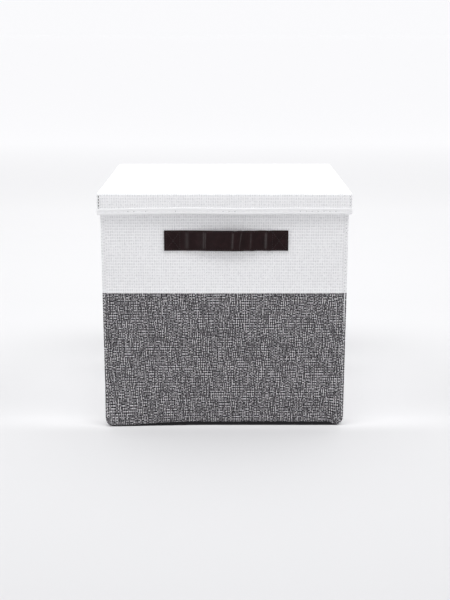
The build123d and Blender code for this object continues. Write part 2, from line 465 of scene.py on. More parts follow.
grey_cloth = woven_cloth(
    "grey_cloth", GREY_PITCHES, GREY_COLOURS, GREY_SLUBS, turns=(0.03, 0.02),
    hop=0.2, relief=0.15 * MM, painted_gap_shade=0.5,
)
cloth_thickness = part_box("front_grey_cloth")[1].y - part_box("front_grey_cloth")[0].y
hem_turns = [
    (
        HEM_TURN * (1 - math.cos(math.radians(angle))),
        hem_height + HEM_TURN * (1 - math.sin(math.radians(angle))),
    )
    for angle in (75, 60, 45, 30, 15, 0)
]
tucked_edge = [
    (0, seam_height - 2.2 * MM),
    (0.4 * MM, seam_height - 0.6 * MM),
    (0.9 * MM, seam_height + 1.0 * MM),
]
grey_rise = hem_turns + tucked_edge
wall_layer(
    "grey_band", "grey_cloth", grey_rise, cloth_thickness, grey_cloth,
    side_step=3 * MM, shift=grey_shape,
)


# White band: the upper half of every wall, a plain weave of white yarns with a few greyer slubs.
# Its lower edge is folded under and sewn down over the grey band, so it stands proud as a fine
# ridge, and its upper edge runs up under the rim tape.
WHITE_PITCHES = 1.40 * MM, 1.82 * MM
WHITE_SLUBS = 1.2 * MM, 2.4 * MM
WHITE_COLOURS = [
    (0.20, (0.75, 0.75, 0.762)),
    (0.50, (0.925, 0.925, 0.937)),
    (0.80, (0.995, 0.995, 1.0)),
]
FOLD_PROUD = 0.45 * MM


def white_shape(wall, along, depth, height):
    along, depth, height = slack(wall, along, depth, height)
    if wall in ("left", "right"):
        along, depth, height = at_crease(wall, along, depth, height)
    return along, depth, height


white_cloth = woven_cloth(
    "white_cloth", WHITE_PITCHES, WHITE_COLOURS, WHITE_SLUBS, turns=(-0.02, 0.20),
    hop=0.6, relief=0.15 * MM, painted_gap_shade=0.8,
)
white_top = rim_height - RIM_TUCK
white_rise = [
    (0.5 * MM, seam_height + 0.1 * MM),
    (0.1 * MM, seam_height - 0.6 * MM),
    (-FOLD_PROUD, seam_height - 0.2 * MM),
    (-FOLD_PROUD, seam_height + 2.0 * MM),
    (-0.15 * MM, seam_height + 5.0 * MM),
    (0, seam_height + 9.0 * MM),
    (0, white_top),
]
wall_layer(
    "white_band", "white_cloth", white_rise, cloth_thickness, white_cloth,
    side_step=3 * MM, shift=white_shape,
)


# Corner seams: the cloth of both walls is folded over a stiff strip and top-stitched near its edge.
# One runs up each corner, from the floor to the rim, as part of the front or the back wall. Its
# tongue laps over the side wall's cloth.
SEAM_PROUD = 0.35 * MM
SEAM_ROUND = 2.4 * MM
TONGUE = 8 * MM
FOOT_ROUND = 12.0 * MM
FOOT_FADE = 24 * MM
SEAM_STITCH = (3.2 * MM, 0.8 * MM, 0.45 * MM)
SEAM_STITCH_PITCH = 4.9 * MM
SEAM_STITCH_EDGE = 2.2 * MM
SEAM_STITCH_WOBBLE = 0.3 * MM
SIDE_STITCH_BACK = 1 * MM
NEEDLE_HOLE = (0.9 * MM, 0.7 * MM, 0.25 * MM)
LOCK_STITCH = (3.4 * MM, 1.3 * MM, 0.9 * MM)
LOCK_STITCH_PITCH = 2.4 * MM
LOCK_STITCH_RUN = 36 * MM
LIGHT_THREAD_COLOURS = (0.78, 0.78, 0.79), (0.95, 0.95, 0.96)
# Needle holes are small dark beads: painted shade for the dark inside of each hole.
HOLE_SHADE_COLOURS = (0.14, 0.14, 0.145), (0.24, 0.24, 0.245)
TAPE_PITCHES = 0.7 * MM, 0.9 * MM
TAPE_SLUBS = 3.0 * MM, 4.0 * MM
TAPE_COLOURS = [(0.25, (0.92, 0.92, 0.93)), (0.6, (0.98, 0.98, 0.988))]
TAPE_PROUD = 0.35 * MM
UPWARD = Vector((0, 0, 1))


def twisted_thread(name, dark, light, roughness=0.7):
    """Sewing thread: fine twisted plies, lighter on top of each."""
    finish, tree, shader = new_finish(name, roughness=roughness, specular=0.3)
    place = shader_node(tree, "ShaderNodeTexCoord", {}).outputs["Object"]
    plies = shader_node(
        tree, "ShaderNodeTexNoise", {"Vector": place, "Scale": 1600.0, "Detail": 1.0}
    ).outputs["Fac"]
    tree.links.new(shaded(tree, plies, [(0.35, dark), (0.65, light)]), shader.inputs["Base Color"])
    raise_relief(tree, shader, plies, 0.05 * MM, 0.5)
    return finish


def sewn_beads(name, spots, size, finish):
    """A bead of the given length, width and height at each spot: its middle, direction and outward way."""
    mesh = bmesh.new()
    for middle, direction, outward in spots:
        turned = Matrix((direction, outward.cross(direction), outward)).transposed().to_4x4()
        shape = Matrix.Translation(middle) @ turned @ Matrix.Diagonal((*size, 1))
        bmesh.ops.create_uvsphere(mesh, u_segments=6, v_segments=4, radius=0.5, matrix=shape)
    for face in mesh.faces:
        face.smooth = True
    return finished_piece(name, mesh, finish, sharp_turn=math.pi)


def corner_outline(side):
    """The corner's (along, depth) points in plan, round the outside and back along the inside.

    The number that is also given is the first point of the inside.
    """
    outer_edge = half_width + SEAM_PROUD
    tongue_end = corner_depth + TONGUE
    turn_middle = Vector((outer_edge - SEAM_ROUND, SEAM_ROUND - SEAM_PROUD))
    outline = [
        (panel_end + 0.1 * MM, 0.05 * MM),
        (panel_end + 0.4 * MM, 0.0),
        (panel_end + 1.6 * MM, -SEAM_PROUD),
    ]
    for angle in range(0, 91, 15):
        turn = math.radians(angle)
        outline.append(turn_middle + SEAM_ROUND * Vector((math.sin(turn), -math.cos(turn))))
    outline += spaced([(outer_edge, corner_depth - 2 * MM), (outer_edge, tongue_end - 0.4 * MM)], 1.2 * MM)
    outline.append((half_width + 0.3 * MM, tongue_end))
    outline += spaced([(half_width, tongue_end), (half_width, corner_depth + 0.3 * MM)], 1.2 * MM)
    inside = len(outline)
    outline += [
        (half_width - 0.2 * MM, corner_depth),
        (panel_end, corner_depth),
        (panel_end, wall_depth),
        (panel_end, 1.2 * MM),
        outline[0],
    ]
    return [Vector((side * point[0], point[1])) for point in outline], inside


def foot_lift(along, height):
    """How far a corner's cloth is drawn up near the floor, which rounds the bin's lower corner."""
    past = min(max(abs(along) - half_width + FOOT_ROUND, 0), FOOT_ROUND)
    lift = FOOT_ROUND - math.sqrt(FOOT_ROUND ** 2 - past ** 2)
    return lift * max(1 - height / FOOT_FADE, 0)


def corner_seam(name, wall, side, heights, finish):
    """One band's length of a corner seam, with the rim tape's look at its top."""
    outline, inside = corner_outline(side)
    covered = [0.0]
    for before, after in zip(outline, outline[1:]):
        covered.append(covered[-1] + (after - before).length)

    def place(column, row):
        along, depth = outline[column]
        height = heights[row] + foot_lift(along, heights[row])
        if height > tape_bottom and 1 < column < inside:
            along += side * TAPE_PROUD * (side * along > half_width)
            depth -= TAPE_PROUD * (depth < 0)
        return on_wall(wall, along, depth, height), (side * (panel_end + covered[column]), height)

    def finish_of(column, row):
        if heights[row] >= tape_bottom:
            return 2
        return int(column >= inside - 1)

    return gridded_piece(
        name, len(outline) - 1, len(heights) - 1, place, finish, lining, white_tape,
        closed=True, finish_of=finish_of,
    )


def corner_stitch_spots(wall, side, start, end, pitch):
    """Two upright rows of top-stitching on a corner: on its own wall's face and on the side's face."""
    spots = []
    wall_way = on_wall(wall, 0, -1, 0) - on_wall(wall, 0, 0, 0)
    side_way = on_wall(wall, side, 0, 0) - on_wall(wall, 0, 0, 0)
    for number in range(int((end - start) / pitch)):
        height = start + number * pitch
        wobble = SEAM_STITCH_WOBBLE * noise.noise(Vector((height * 90, side * 3.3, wall_way.y * 2.1)))
        edge = SEAM_STITCH_EDGE + wobble
        on_face = on_wall(wall, side * (half_width - edge), -SEAM_PROUD, height)
        on_side = on_wall(wall, side * (half_width + SEAM_PROUD), edge + SIDE_STITCH_BACK, height)
        spots += [(on_face, UPWARD, wall_way), (on_side, UPWARD, side_way)]
    return spots


light_thread = twisted_thread("light_thread", *LIGHT_THREAD_COLOURS)
# Dark bead finish for the needle holes: painted shade inside the holes.
needle_hole_shade = twisted_thread("needle_hole_shade", *HOLE_SHADE_COLOURS, roughness=0.95)
white_tape = woven_cloth(
    "white_tape", TAPE_PITCHES, TAPE_COLOURS, TAPE_SLUBS, turns=(0.0, 0.0),
    hop=0.2, relief=0.12 * MM, painted_gap_shade=0.92,
)
tape_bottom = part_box("front_rim_tape")[0].z
corner_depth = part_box("front_right_corner_grey")[1].y + half_depth
grey_heights = [point.x for point in spaced([(0, 0), (FOOT_FADE, 0)], 4 * MM)]
grey_heights += [point.x for point in spaced([(FOOT_FADE, 0), (seam_height, 0)], 8 * MM)][1:]
white_heights = [point.x for point in spaced([(seam_height, 0), (tape_bottom, 0)], 8 * MM)]
white_heights += [tape_bottom + 0.3 * MM, tape_bottom + 4 * MM, rim_height - 1 * MM, rim_height]
for wall in ("front", "back"):
    for side in (-1, 1):
        way = -1 if wall == "front" else 1
        hand = "right" if side * way < 0 else "left"
        corner = f"{wall}_{hand}_corner"
        for band, heights, finish in (
            ("grey", grey_heights, grey_cloth),
            ("white", white_heights, white_cloth),
        ):
            piece = corner_seam(f"{corner}_{band}_seam", wall, side, heights, finish)
            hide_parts(f"{corner}_{band}")
            if corner == "back_right_corner":
                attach(piece, "back_wall")
            else:
                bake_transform(piece)
        first = FOOT_ROUND + 2 * MM
        last = tape_bottom - 2 * MM
        pitch = SEAM_STITCH_PITCH
        stitches = corner_stitch_spots(wall, side, first, last, pitch)
        thread = sewn_beads(f"{corner}_stitches", stitches, SEAM_STITCH, light_thread)
        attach(thread, f"{wall}_wall")
        holes_end = last if side > 0 else seam_height
        holes = corner_stitch_spots(wall, side, first + pitch / 2, holes_end, pitch)
        punched = sewn_beads(f"{corner}_needle_holes", holes, NEEDLE_HOLE, needle_hole_shade)
        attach(punched, f"{wall}_wall")
        if side > 0:
            lock_start = seam_height - LOCK_STITCH_RUN
            locks = corner_stitch_spots(wall, side, lock_start, seam_height, LOCK_STITCH_PITCH)
            locked = sewn_beads(f"{corner}_lock_stitches", locks, LOCK_STITCH, light_thread)
            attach(locked, f"{wall}_wall")


# Rim tapes: white woven tape folded over the top edge of each wall, over cloth, board and lining.
# They are sewn through close to their lower edges, and the side ones run on across the crease.
TAPE_THICKNESS = 0.5 * MM

tape_over = [
    (-0.55 * MM, tape_bottom),
    (-0.55 * MM, rim_height - 2.2 * MM),
    (0.1 * MM, rim_height - 0.5 * MM),
    (1.4 * MM, rim_height - 0.1 * MM),
    (wall_depth - 1.4 * MM, rim_height - 0.1 * MM),
    (wall_depth - 0.1 * MM, rim_height - 0.5 * MM),
    (wall_depth + 0.55 * MM, rim_height - 2.2 * MM),
    (wall_depth + 0.55 * MM, tape_bottom),
]
for wall, run_end in (("front", panel_end), ("back", panel_end), ("left", side_end), ("right", side_end)):
    run = (-run_end, run_end)
    piece = wall_sheet(f"{wall}_rim_binding", wall, run, tape_over, TAPE_THICKNESS, white_tape, 3 * MM)
    if wall in ("left", "right"):
        bend_at_crease(piece, wall)
        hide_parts(f"{wall}_front_rim_tape", f"{wall}_back_rim_tape")
    else:
        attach(piece, f"{wall}_wall")
        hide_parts(f"{wall}_rim_tape")


# Bottom cloth: black bonded cloth cut to the footprint, with its front and side edges turned up.
# Its near-black colour is partly the cloth's own and partly painted shade for the dark gap under the front
# hem.
# It is sewn to the front wall's hem, and its back edge lies flat.
BOTTOM_BLACK_AND_SHADE_COLOURS = (0.008, 0.008, 0.009), (0.016, 0.016, 0.017)
BOTTOM_THICKNESS = 0.8 * MM
BOTTOM_ROUND = 1.4 * MM
BOTTOM_CUTS = 24


def boxed_cloth(low, high, fold_round, open_way):
    """A sheet boxed over five sides of a block, open above (1) or below (-1), its folds rounded."""
    mesh = bmesh.new()
    block = Matrix.Translation((low + high) / 2) @ Matrix.Diagonal((*(high - low), 1))
    bmesh.ops.create_cube(mesh, size=1, matrix=block)
    mouth = [face for face in mesh.faces if face.normal.z * open_way > 0.5]
    bmesh.ops.delete(mesh, geom=mouth, context="FACES_ONLY")
    folds = [edge for edge in mesh.edges if not edge.is_boundary]
    bmesh.ops.bevel(
        mesh, geom=folds, offset=fold_round, segments=4, profile=0.5, affect="EDGES", material=-1
    )
    return mesh


def lay_flat(mesh):
    """A spot on the cloth for every corner of every face, by the way that the face looks most."""
    cloth_spot = mesh.loops.layers.uv.new("cloth")
    mesh.normal_update()
    for face in mesh.faces:
        face.smooth = True
        x, y, z = (abs(share) for share in face.normal)
        for loop in face.loops:
            point = loop.vert.co
            if z >= max(x, y):
                loop[cloth_spot].uv = point.x, point.y
            else:
                loop[cloth_spot].uv = point.x if y >= x else point.y, point.z


bottom_low, bottom_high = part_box("bottom_cloth")
mesh = boxed_cloth(bottom_low, bottom_high, BOTTOM_ROUND, open_way=1)
level = [edge for edge in mesh.edges if edge.calc_length() > 0.1]
bmesh.ops.subdivide_edges(mesh, edges=level, cuts=BOTTOM_CUTS, use_grid_fill=True)
back_edge = [vert for vert in mesh.verts if vert.co.y > bottom_high.y - BOTTOM_ROUND / 2]
bmesh.ops.delete(mesh, geom=back_edge, context="VERTS")
for vert in mesh.verts:
    towards_front = max(vert.co.y / bottom_low.y, 0)
    vert.co.y -= foot_spread(vert.co.x, vert.co.z) * towards_front
    above = FOOT_ROUND - min(vert.co.z, FOOT_ROUND)
    foot_end = half_width - FOOT_ROUND + math.sqrt(FOOT_ROUND ** 2 - above ** 2)
    vert.co.x = min(max(vert.co.x, -foot_end), foot_end)
lay_flat(mesh)
bmesh.ops.solidify(mesh, geom=mesh.faces[:], thickness=BOTTOM_THICKNESS)
# Near-black colour: partly the cloth's own, partly painted shade for the gap under the hem.
black_and_shade_cloth = bonded_cloth("black_and_shade_bottom_cloth", *BOTTOM_BLACK_AND_SHADE_COLOURS, DIMPLE_PITCH)
bottom = finished_piece("bottom_sheet", mesh, black_and_shade_cloth)
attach(bottom, "front_wall")
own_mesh(bottom)
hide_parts("bottom_cloth")


# Base panel: a stiff board in a sleeve of lining cloth, closed and top-stitched along its ends.
# It lies on the bottom cloth and holds the bin open, and its front edge is sewn to the front wall.
COVER_THICKNESS = 0.6 * MM
COVER_ROUND = 1.2 * MM
COVER_STITCH = (3.2 * MM, 0.7 * MM, 0.5 * MM)
COVER_STITCH_PITCH = 4.6 * MM
COVER_STITCH_EDGE = 6 * MM

show_board("base_board")
cover_low, cover_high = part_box("base_cover")
mesh = bmesh.new()
block = Matrix.Translation((cover_low + cover_high) / 2) @ Matrix.Diagonal((*(cover_high - cover_low), 1))
bmesh.ops.create_cube(mesh, size=1, matrix=block)
bmesh.ops.bevel(
    mesh, geom=mesh.edges[:], offset=COVER_ROUND, segments=3, profile=0.5, affect="EDGES", material=-1
)
lay_flat(mesh)
bmesh.ops.solidify(mesh, geom=mesh.faces[:], thickness=COVER_THICKNESS)
cover = finished_piece("base_sleeve", mesh, lining)
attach(cover, "base_panel")
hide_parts("base_cover")
girth = 2 * (cover_high.y - cover_low.y + cover_high.z - cover_low.z)
spots = []
stitch_run = cover_high.y - cover_low.y - 2 * COVER_STITCH_EDGE
for number in range(int(stitch_run / COVER_STITCH_PITCH)):
    y = cover_low.y + COVER_STITCH_EDGE + number * COVER_STITCH_PITCH
    for x in (cover_low.x + COVER_STITCH_EDGE, cover_high.x - COVER_STITCH_EDGE):
        spots.append((Vector((x, y, cover_high.z)), Vector((0, 1, 0)), UPWARD))
thread = sewn_beads("base_sleeve_stitches", spots, COVER_STITCH, light_thread)
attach(thread, "base_panel")


# Handle patches: a square of tough backing cloth behind the wall's cloth at each end of a strap.
# The straps are sewn through to them, so that a pull doesn't tear the cloth.
PATCH_COLOURS = (0.10, 0.10, 0.10), (0.17, 0.17, 0.17)
STRAP_TAB = 22 * MM
PATCH_MARGIN = 6 * MM

backing = bonded_cloth("backing_cloth", *PATCH_COLOURS, DIMPLE_PITCH)
for wall in ("front", "back"):
    node = f"{wall}_handle_backing"
    low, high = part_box(node)
    patch_depth = half_depth - max(abs(low.y), abs(high.y))
    patch_thickness = high.y - low.y
    patch_width = STRAP_TAB + PATCH_MARGIN
    upright = [(patch_depth, low.z), (patch_depth, high.z)]
    along_low, along_high = (low.x, high.x) if wall == "front" else (-high.x, -low.x)
    for hand, run in (
        ("left", (along_low, along_low + patch_width)),
        ("right", (along_high - patch_width, along_high)),
    ):
        piece = wall_sheet(f"{node}_{hand}", wall, run, upright, patch_thickness, backing)
        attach(piece, f"{wall}_wall")
        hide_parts(node)


# Strap handles: a strip of dark brown coated leather cloth, folded to two layers and edge-stitched.
# Each end is sewn flat to the wall with a box and a cross, and the middle stands off the wall in
# small waves.
STRAP_COLOURS = [
    (0.30, (0.0092, 0.0030, 0.0034)),
    (0.55, (0.0136, 0.0047, 0.0053)),
    (0.75, (0.0195, 0.0074, 0.0083)),
]
STRAP_BOW = 3.0 * MM
STRAP_CROWN = 0.15 * MM
STRAP_EDGE = 0.8 * MM
STRAP_ROUND = 0.2 * MM, 0.3 * MM
STRAP_WAVES = (
    (-44.8 * MM, 5.0 * MM, 0.58 * MM, 0.0),
    (-24.6 * MM, 2.2 * MM, 0.50 * MM, 0.02),
    (11.0 * MM, 4.0 * MM, 1.15 * MM, 0.05),
    (19.0 * MM, 2.0 * MM, 1.20 * MM, 0.13),
    (33.2 * MM, 4.0 * MM, 1.40 * MM, 0.05),
    (51.8 * MM, 4.2 * MM, 1.50 * MM, 0.02),
)
STRAP_STITCH = (2.3 * MM, 0.6 * MM, 0.5 * MM)
STRAP_STITCH_PITCH = 3.0 * MM
STRAP_STITCH_EDGE = 1.7 * MM
BOX_INSET = 2.6 * MM
DARK_THREAD_COLOURS = (0.016, 0.010, 0.010), (0.032, 0.024, 0.024)


def coated_leather(name, stops):
    """Coated leather cloth: fine pebbled grain with a soft gloss."""
    finish, tree, shader = new_finish(name, roughness=0.22, specular=0.14)
    place = shader_node(tree, "ShaderNodeUVMap", {}, uv_map="cloth").outputs["UV"]
    pebbles = shader_node(
        tree, "ShaderNodeTexVoronoi", {"Vector": place, "Scale": 1100.0, "Randomness": 0.9},
        voronoi_dimensions="2D",
    ).outputs["Distance"]
    mottle = shader_node(
        tree, "ShaderNodeTexNoise", {"Vector": place, "Scale": 120.0, "Detail": 4.0}
    ).outputs["Fac"]
    tree.links.new(shaded(tree, mottle, stops), shader.inputs["Base Color"])
    raise_relief(tree, shader, pebbles, 0.05 * MM, 0.5)
    return finish


def strap_depth(from_middle, up):
    """How far the strap's back stands off the wall, with its bow and its waves."""
    free = strap_half - STRAP_TAB
    share = min(abs(from_middle) / free, 1)
    off = STRAP_BOW * (0.5 + 0.5 * math.cos(math.pi * share))
    for place, width, height, slant in STRAP_WAVES:
        off += height * math.exp(-((from_middle - place - slant * up) / width) ** 2)
    return -off


def strap_point(wall, middle, from_middle, up, depth):
    """A point of a strap, from its own middle along and up, and off its back.

    The strap runs straight from tab to tab, across the bow of the wall behind it.
    """
    strap_middle = middle.x * (1 if wall == "front" else -1)
    sewn = strap_middle + math.copysign(strap_half - STRAP_TAB, from_middle)
    along = strap_middle + from_middle
    height = middle.z + up
    bridged = max(wall_bow(wall, along, height) - wall_bow(wall, sewn, height), 0)
    return on_wall(wall, along, strap_depth(from_middle, up) + depth - bridged, height)


leather = coated_leather("strap_leather", STRAP_COLOURS)
dark_thread = twisted_thread("dark_thread", *DARK_THREAD_COLOURS, roughness=0.6)
for wall in ("front", "back"):
    node = f"{wall}_handle_strap"
    low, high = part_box(node)
    middle = (low + high) / 2
    strap_half = (high.x - low.x) / 2
    half_tall = (high.z - low.z) / 2
    thick = high.y - low.y - STRAP_BOW
    edge = half_tall - STRAP_EDGE
    rise, back = STRAP_ROUND
    section = [(0, 0), (edge, 0), (half_tall - rise, -back), (half_tall, -thick / 2)]
    section += [(half_tall - rise, back - thick), (edge, -thick)]
    front_face = spaced([(edge, 0), (-edge, 0)], 3 * MM)[1:-1]
    section += [(up.x, -thick - STRAP_CROWN * (1 - (up.x / edge) ** 2)) for up in front_face]
    section += [(-edge, -thick), (rise - half_tall, back - thick), (-half_tall, -thick / 2)]
    section += [(rise - half_tall, -back), (-edge, 0), (0, 0)]
    girth = [0.0]
    for before, after in zip(section, section[1:]):
        girth.append(girth[-1] + (Vector(after) - Vector(before)).length)
    for hand, ends in (("left", (-strap_half, 0)), ("right", (0, strap_half))):
        run = [point.x for point in spaced([(ends[0], 0), (ends[1], 0)], 1.2 * MM)]

        def place(column, row):
            up, depth = section[row]
            return strap_point(wall, middle, run[column], up, depth), (run[column], girth[row])

        piece = gridded_piece(
            f"{wall}_strap_{hand}", len(run) - 1, len(section) - 1, place, leather, closed=True
        )
        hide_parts(node)
        sign = -1 if hand == "left" else 1
        surface = -thick - 0.02 * MM
        spots = []
        line_up = half_tall - STRAP_STITCH_EDGE
        outward = on_wall(wall, 0, -1, 0) - on_wall(wall, 0, 0, 0)
        along_way = on_wall(wall, 1, 0, 0) - on_wall(wall, 0, 0, 0)
        free = strap_half - STRAP_TAB
        count = int((strap_half - BOX_INSET) / STRAP_STITCH_PITCH)
        for number in range(count):
            from_middle = sign * (number + 0.5) * STRAP_STITCH_PITCH
            for up in (line_up, -line_up):
                spot = strap_point(wall, middle, from_middle, up, surface)
                spots.append((spot, along_way, outward))
        box_start = free + BOX_INSET
        box_end = strap_half - BOX_INSET
        corners = [
            ((box_start, -line_up), (box_start, line_up)),
            ((box_end, -line_up), (box_end, line_up)),
            ((box_start, -line_up), (box_end, line_up)),
            ((box_start, line_up), (box_end, -line_up)),
        ]
        for start, end in corners:
            line = spaced([start, end], STRAP_STITCH_PITCH)
            for before, after in zip(line, line[1:]):
                spot = (before + after) / 2
                way = (after - before).normalized()
                direction = sign * way.x * along_way + way.y * UPWARD
                point = strap_point(wall, middle, sign * spot.x, spot.y, surface - 0.1 * MM)
                spots.append((point, direction, outward))
        thread = sewn_beads(f"{wall}_strap_{hand}_stitches", spots, STRAP_STITCH, dark_thread)
        for part in (piece, thread):
            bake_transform(part)


# Lid stiffeners and lining: a board under the lid's top cloth and a thin one inside each skirt.
# Lining cloth covers them from below and inside, and is caught in the tape at the skirt's edge.
LID_ROUND = 1.7 * MM
LID_LINING_SAG = 0.05 * MM
LID_LINING_CUTS = 60
SKIRT_BOARD_THICKNESS = 0.9 * MM
SKIRT_LINING_THICKNESS = 0.5 * MM

show_board("lid_board")
low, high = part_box("lid_lining")
lid_lining_thickness = high.z - low.z
lid_lining_size = high - low


def lid_lining_place(column, row):
    """The lid's lining, laid out so that its faces look down."""
    x = high.x - lid_lining_size.x * column / LID_LINING_CUTS
    y = low.y + lid_lining_size.y * row / LID_LINING_CUTS
    sag = LID_LINING_SAG * noise.noise(Vector((x * 30, y * 30, 4.2)))
    return Vector((x, y, low.z + sag)), (x, y)


piece = gridded_piece(
    "lid_lining_sheet", LID_LINING_CUTS, LID_LINING_CUTS, lid_lining_place, lining,
    thickness=lid_lining_thickness,
)
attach(piece, "lid")
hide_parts("lid_lining")

low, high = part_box("lid_top_cloth")
lid_half_x, lid_half_y, lid_top = high


def round_the_lid(inset, step):
    """Points round the lid in plan with their outward ways, from the left of the front back to there."""
    ring = []
    corner_angles = [math.radians(angle) for angle in (15, 30, 45, 60, 75)]
    for turn in (0, 90, 180, 270):
        half_run, reach = (lid_half_x, lid_half_y) if turn in (0, 180) else (lid_half_y, lid_half_x)
        spin = Matrix.Rotation(math.radians(turn), 2)
        straight = half_run - LID_ROUND
        ways = [(Vector(point), Vector((0, -1))) for point in spaced([(-straight, 0), (straight, 0)], step)]
        ways += [(Vector((straight, 0)), Vector((math.sin(a), -math.cos(a)))) for a in corner_angles]
        for start, way in ways:
            point = start + Vector((0, LID_ROUND - reach)) + (LID_ROUND - inset) * way
            ring.append((spin @ point, spin @ way))
    return ring + ring[:1]


def round_sheet(name, inset, profile, thickness, finish, wave=None, step=4 * MM):
    """A sheet right round the lid, with (outwards, height) points for the face that it shows."""
    ring = round_the_lid(inset, step)
    covered = [0.0]
    for before, after in zip(ring, ring[1:]):
        covered.append(covered[-1] + (after[0] - before[0]).length)
    gone = [0.0]
    for before, after in zip(profile, profile[1:]):
        gone.append(gone[-1] + (Vector(after) - Vector(before)).length)

    def place(column, row):
        point, way = ring[column]
        out, height = profile[row]
        if wave:
            height += wave(point)
        return (*(point + out * way), height), (covered[column], gone[row])

    piece = gridded_piece(
        name, len(ring) - 1, len(profile) - 1, place, finish, thickness=thickness, joined=True
    )
    return piece, covered[-1], gone[-1]


stiffener_low, stiffener_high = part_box("lid_skirt_boards")
stiffener_inset = lid_half_x - stiffener_high.x
stiffener_rise = spaced([(0, stiffener_low.z), (0, lid_top - LID_ROUND)], 4 * MM)
piece = round_sheet(
    "lid_skirt_stiffener", stiffener_inset, stiffener_rise, SKIRT_BOARD_THICKNESS, board
)[0]
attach(piece, "lid")
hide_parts("lid_skirt_boards")
lining_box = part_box("lid_skirt_lining")
skirt_lining_depth = lid_half_x - lining_box[1].x + SKIRT_LINING_THICKNESS
skirt_drop = spaced([(0, lining_box[1].z), (0, lining_box[0].z)], 4 * MM)
piece, ring_length, fall = round_sheet(
    "lid_skirt_lining_sheet", skirt_lining_depth, skirt_drop, SKIRT_LINING_THICKNESS, lining
)
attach(piece, "lid")
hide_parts("lid_skirt_lining")


# Lid cloth: the white weave of the upper band, cut as a cross and folded down over the four sides.
# The corners are sewn up with short whip stitches, and the top lies flat on the lid's board.
LID_CLOTH_THICKNESS = 0.8 * MM
LID_UNEVEN = 0.22 * MM
LID_CUTS = 60
SKIRT_CUTS = 5
WHIP_STITCH = (4.2 * MM, 0.8 * MM, 0.6 * MM)
WHIP_HOLE = (1.3 * MM, 0.8 * MM, 0.7 * MM)
OPEN_SEAM = (2.8 * MM, 1.2 * MM, 0.9 * MM)
OPEN_SEAM_SHADE_COLOURS = (0.02, 0.02, 0.021), (0.06, 0.06, 0.062)
WHIP_PITCH = 3.7 * MM
WHIP_COUNT = 6
WHIP_START = 4 * MM

skirt_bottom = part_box("lid_front_skirt")[0].z
below = Vector((-lid_half_x, -lid_half_y, skirt_bottom))
above = Vector((lid_half_x, lid_half_y, lid_top))
mesh = boxed_cloth(below, above, LID_ROUND, open_way=-1)
level = [edge for edge in mesh.edges if edge.calc_length() > 0.1]
bmesh.ops.subdivide_edges(mesh, edges=level, cuts=LID_CUTS, use_grid_fill=True)
upright = [edge for edge in mesh.edges if abs(edge.verts[0].co.z - edge.verts[1].co.z) > 10 * MM]
bmesh.ops.subdivide_edges(mesh, edges=upright, cuts=SKIRT_CUTS, use_grid_fill=True)
lay_flat(mesh)
for vert in mesh.verts:
    uneven = LID_UNEVEN * noise.noise(Vector((vert.co.x * 26, vert.co.y * 26, vert.co.z * 60 + 1.7)))
    vert.co += uneven * vert.normal
bmesh.ops.solidify(mesh, geom=mesh.faces[:], thickness=LID_CLOTH_THICKNESS)
lid_cloth = finished_piece("lid_cover", mesh, white_cloth)
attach(lid_cloth, "lid")
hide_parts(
    "lid_top_cloth", "lid_front_skirt", "lid_back_skirt", "lid_left_skirt", "lid_right_skirt"
)
stitches = []
holes = []
for x_way in (-1, 1):
    for y_way in (-1, 1):
        outward = Vector((x_way, y_way, 0)).normalized()
        level_way = Vector((-y_way, x_way, 0)).normalized()
        arc_middle = Vector((x_way * (lid_half_x - LID_ROUND), y_way * (lid_half_y - LID_ROUND), 0))
        for number in range(WHIP_COUNT):
            height = UPWARD * (lid_top - WHIP_START - number * WHIP_PITCH)
            stitches.append((arc_middle + outward * LID_ROUND + height, level_way, outward))
            for face_way, along in (
                (Vector((x_way, 0, 0)), Vector((0, y_way, 0))),
                (Vector((0, y_way, 0)), Vector((x_way, 0, 0))),
            ):
                spot = arc_middle + face_way * LID_ROUND - along * 0.6 * MM + height
                holes.append((spot, UPWARD, face_way))
thread = sewn_beads("lid_corner_stitches", stitches, WHIP_STITCH, light_thread)
# Dark beads at the lid corners' needle holes: painted shade.
punched = sewn_beads("lid_corner_needle_holes", holes, WHIP_HOLE, needle_hole_shade)
# The gaping seam at the front left corner: very dark beads, painted shade in its gaps.
front_left = [spot for spot in holes if spot[2].y < -0.5 and spot[0].x < 0]
open_seam_shade = twisted_thread("open_seam_shade", *OPEN_SEAM_SHADE_COLOURS, roughness=0.95)
gaping = sewn_beads("lid_corner_open_seam", front_left, OPEN_SEAM, open_seam_shade)
for part, name in ((thread, "white_cloth"), (punched, "grey_cloth"), (gaping, "grey_cloth")):
    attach(part, "lid")


# Lid tape: white woven tape folded round the lower edge of the skirt, all the way round.
# One row of long stitches holds it, with dark beads at some needle holes between them as painted shade, and
# its edge waves a little.
LID_TAPE_THICKNESS = 0.6 * MM
LID_TAPE_WAVE = 0.45 * MM
LID_TAPE_DIP = 0.9 * MM
LID_TAPE_DIP_START = 95 * MM
LID_TAPE_DIP_RUN = 45 * MM
LID_STITCH = (5.6 * MM, 0.8 * MM, 0.45 * MM)
LID_STITCH_PITCH = 7.3 * MM
LID_HOLE = (1.2 * MM, 1.1 * MM, 0.4 * MM)

